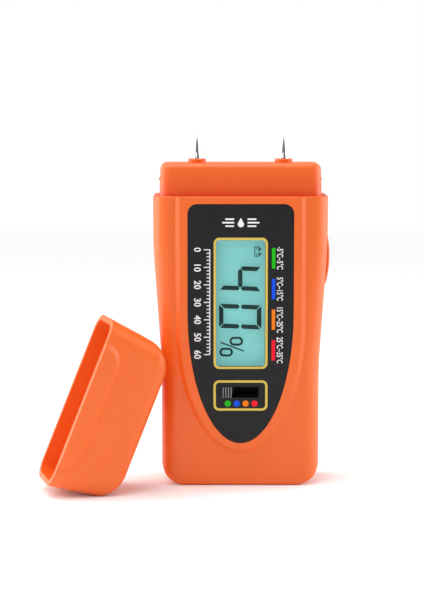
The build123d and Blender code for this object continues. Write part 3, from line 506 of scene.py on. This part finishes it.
def printed_text(words, name, height, x, z, squeeze=1.0, weight=0.0):
    """Words printed on the label, reading downwards with their tops towards +X."""
    curve = bpy.data.curves.new(name, "FONT")
    curve.body = words
    curve.size = height / 0.73
    curve.align_x = "CENTER"
    curve.align_y = "CENTER"
    curve.offset = weight
    curve.resolution_u = 3
    draft = bpy.data.objects.new(name + "_draft", curve)
    mesh = bpy.data.meshes.new_from_object(draft)
    bpy.data.objects.remove(draft)
    letters = bmesh.new()
    letters.from_mesh(mesh)
    bpy.data.meshes.remove(mesh)
    bmesh.ops.scale(letters, verts=letters.verts[:], vec=(squeeze, 1, 1))
    bmesh.ops.rotate(letters, verts=letters.verts[:], matrix=Matrix.Rotation(math.radians(-90), 3, "Z"))
    stand_up(letters, letters.verts[:], x, z)
    return printed(letters, name, white_ink)


for index, name in enumerate(range_inks):
    words = "{}°C~{}°C".format(range_limits[index], range_limits[index + 1])
    printed_text(words, name + "_range_numbers", range_text_height, range_text_x,
                 bar_first_z - index * bar_pitch, 0.66, 0.05 * MM)

# ---------------------------------------------------------------- moisture scale on the left
scale = bmesh.new()
flat_rectangle(scale, tick_width, scale_length + tick_width, scale_x, scale_top_z - scale_length / 2)
for mark in range(scale_marks + 1):
    is_long = mark % (scale_marks // scale_numbers) == 0
    length = tick_long if is_long else tick_short
    mark_z = scale_top_z - mark * scale_length / scale_marks
    flat_rectangle(scale, length, tick_width, scale_x - length / 2, mark_z)
printed(scale, "moisture_scale_ticks", white_ink)
for number in range(scale_numbers + 1):
    moisture = number * 10
    number_z = scale_top_z - number * scale_length / scale_numbers
    printed_text(str(moisture), "moisture_scale_{:02d}".format(moisture), scale_text_height,
                 scale_text_x, number_z, 0.95, 0.06 * MM)

# ---------------------------------------------------------------- badge: a drop between two bars
drop = []
for corner in range(drop_corners):
    angle = math.radians(-90 + 360 * corner / drop_corners)
    rise = max(0.0, math.sin(angle))
    drop.append((drop_radius * math.cos(angle) * (1 - drop_pinch * rise ** 2),
                 drop_z + drop_radius * math.sin(angle) + drop_peak * rise ** 3))
badge = bmesh.new()
flat_polygon(badge, drop)
for side in (-1, 1):
    for level, length in badge_bars:
        flat_rectangle(badge, length, badge_bar_width, side * (badge_bar_start + length / 2),
                       badge_z + level * badge_bar_pitch)
printed(badge, "drop_badge", white_ink)


# ---------------------------------------------------------------- liquid crystal segments
def digit_to_face(u, v, z):
    """A point of a digit, u along the reading direction and v towards its top, on the display."""
    return digits_x + v, z - (u + v * digit_slant)


def outer_stroke(side, end):
    """Upright stroke of a digit: side -1 left or 1 right, end 1 top or -1 bottom."""
    half_width, half_height = digit_width / 2, digit_height / 2
    corners = (
        (half_width, stroke * 0.42 + stroke_gap),
        (half_width - stroke * 0.5, stroke_gap * 1.2),
        (half_width - stroke, stroke * 0.42 + stroke_gap),
        (half_width - stroke, half_height - stroke - stroke_gap),
        (half_width, half_height - stroke_gap * 2.5),
    )
    return [(side * u, end * v) for u, v in corners]


def cross_stroke(level):
    """Stroke across a digit: level 1 top, -1 bottom, 0 middle."""
    half_width, half_height = digit_width / 2, digit_height / 2
    if level == 0:
        right = (
            (half_width - stroke - stroke_gap * 0.6, -stroke / 2),
            (half_width - stroke * 0.5 - stroke_gap * 1.4, 0),
            (half_width - stroke - stroke_gap * 0.6, stroke / 2),
        )
        return [*right, *((-u, -v) for u, v in right)]
    return [
        (half_width - stroke - stroke_gap, level * (half_height - stroke)),
        (half_width - stroke_gap * 2.5, level * half_height),
        (-half_width + stroke_gap * 2.5, level * half_height),
        (-half_width + stroke + stroke_gap, level * (half_height - stroke)),
    ]


strokes = {
    "top": cross_stroke(1),
    "middle": cross_stroke(0),
    "bottom": cross_stroke(-1),
    "upper_left": outer_stroke(-1, 1),
    "upper_right": outer_stroke(1, 1),
    "lower_left": outer_stroke(-1, -1),
    "lower_right": outer_stroke(1, -1),
}
four = ("upper_left", "middle", "upper_right", "lower_right")
zero = ("top", "upper_left", "upper_right", "lower_left", "lower_right", "bottom")


def shown_on_glass(shape, name):
    """A dark shape on the liquid crystal cell."""
    thicken(shape, glass_low.y - segment_thickness, glass_low.y + segment_thickness / 2)
    return as_piece(shape, name, segment_ink)


for name, lit, z in (("tens_digit", four, first_digit_z), ("units_digit", zero, second_digit_z)):
    digit = bmesh.new()
    for stroke_name in lit:
        flat_polygon(digit, [digit_to_face(u, v, z) for u, v in strokes[stroke_name]])
    shown_on_glass(digit, name)

percent = bmesh.new()
for x, z in percent_rings:
    ring = bmesh.new()
    width, height = percent_ring_size
    flat_rectangle(ring, width, height, x, z, height * 0.499, 8)
    hollow_out(ring, percent_ring_line)
    ring_mesh = bpy.data.meshes.new("percent_ring")
    ring.to_mesh(ring_mesh)
    ring.free()
    percent.from_mesh(ring_mesh)
    bpy.data.meshes.remove(ring_mesh)
slash_start, slash_end = (Vector(end) for end in percent_slash)
slash_side = (slash_end - slash_start).normalized().orthogonal() * percent_slash_width / 2
flat_polygon(percent, (slash_start + slash_side, slash_end + slash_side,
                       slash_end - slash_side, slash_start - slash_side))
shown_on_glass(percent, "percent_sign")

cell_icon = bmesh.new()
flat_rectangle(cell_icon, cell_icon_width, cell_icon_length, cell_icon_x, cell_icon_z, cell_icon_corner, 3)
hollow_out(cell_icon, cell_icon_line)
for side in (-1, 1):
    flat_rectangle(cell_icon, cell_terminal_width, cell_terminal_length, cell_icon_x + cell_terminal_x,
                   cell_icon_z + side * cell_terminal_z)
    flat_rectangle(cell_icon, cell_sign_width, cell_sign_line, cell_icon_x, cell_icon_z + side * cell_sign_z)
flat_rectangle(cell_icon, cell_plus_line, cell_plus_length, cell_icon_x, cell_icon_z - cell_sign_z)
shown_on_glass(cell_icon, "cell_icon")

# ---------------------------------------------------------------- floor
floor_radius = 2.2
fade_start = 0.30                         # the floor thins out into the backdrop from here
fade_end = 1.32
floor_shape = bmesh.new()
bmesh.ops.create_circle(floor_shape, cap_ends=True, segments=96, radius=floor_radius)
floor_mesh = bpy.data.meshes.new("floor")
floor_shape.to_mesh(floor_mesh)
floor_shape.free()
floor = bpy.data.objects.new("floor", floor_mesh)
bpy.context.scene.collection.objects.link(floor)
floor_finish = Finish("pale_floor", Roughness=0.9, Specular_IOR_Level=0.2)
reach = floor_finish.node("ShaderNodeVectorMath", {"operation": "LENGTH"}, {0: floor_finish.place}, "Value")
floor_finish.feed("Alpha", 1 - floor_finish.step(reach, fade_start, fade_end))
floor_tone = floor_finish.mix(floor_finish.noise(3.0), rgba(FLOOR_PALE), rgba(FLOOR_PALER))
floor_finish.feed("Base Color", floor_tone)
floor_mesh.materials.append(floor_finish.material)

# ---------------------------------------------------------------- light
def studio_world():
    """Grey in front, white at the sides and dimmer behind; the backdrop itself is plain white."""
    world = bpy.data.worlds.new("studio")
    world.use_nodes = True
    bench = Bench(world.node_tree)
    direction = bench.node("ShaderNodeTexCoord", out="Generated")
    behind = bench.node("ShaderNodeSeparateXYZ", None, {0: direction}, "Y")
    sides = bench.mix(bench.step(behind, -0.7, 0.1), rgba(STUDIO_GREY), rgba(STUDIO_WHITE))
    dimmed = bench.mix(1.0, sides, bench.step(behind, 0.45, 0.95, 1.0, 0.45), "MULTIPLY")
    seen = bench.node("ShaderNodeLightPath", out="Is Camera Ray")
    backdrop = bench.mix(seen, dimmed, rgba(STUDIO_WHITE))
    bench.tree.links.new(backdrop.socket, bench.tree.nodes["Background"].inputs["Color"])
    return world


bpy.context.scene.world = studio_world()

look_at = Vector((0, 0, 0.065))
for name, place, size, power in (
    ("key_light", (-0.45, -0.80, 0.80), 0.60, 3.5),
    ("left_light", (-0.85, 0.15, 0.25), 0.90, 7.0),
    ("right_light", (0.85, 0.10, 0.25), 0.90, 7.0),
    ("top_light", (-0.25, -0.05, 0.95), 0.70, 4.8),
):
    lamp = bpy.data.lights.new(name, "AREA")
    lamp.shape = "SQUARE"
    lamp.size = size
    lamp.energy = power
    holder = bpy.data.objects.new(name, lamp)
    bpy.context.scene.collection.objects.link(holder)
    holder.location = place
    holder.rotation_euler = (look_at - Vector(place)).to_track_quat("-Z", "Y").to_euler()

bpy.context.scene.view_settings.view_transform = "Standard"

# ---------------------------------------------------------------- camera
camera_x = -11.13 * MM
camera_distance = 716.0 * MM
camera_height = 157.2 * MM
camera_pitch = 6.80                       # degrees below the horizon
camera_lens = 109.1
camera_data = bpy.data.cameras.new("camera")
camera_data.lens = camera_lens
camera_data.clip_start = 0.01
camera = bpy.data.objects.new("camera", camera_data)
bpy.context.scene.collection.objects.link(camera)
camera.location = (camera_x, -camera_distance, camera_height)
camera.rotation_euler = (math.radians(90 - camera_pitch), 0, 0)
bpy.context.scene.camera = camera
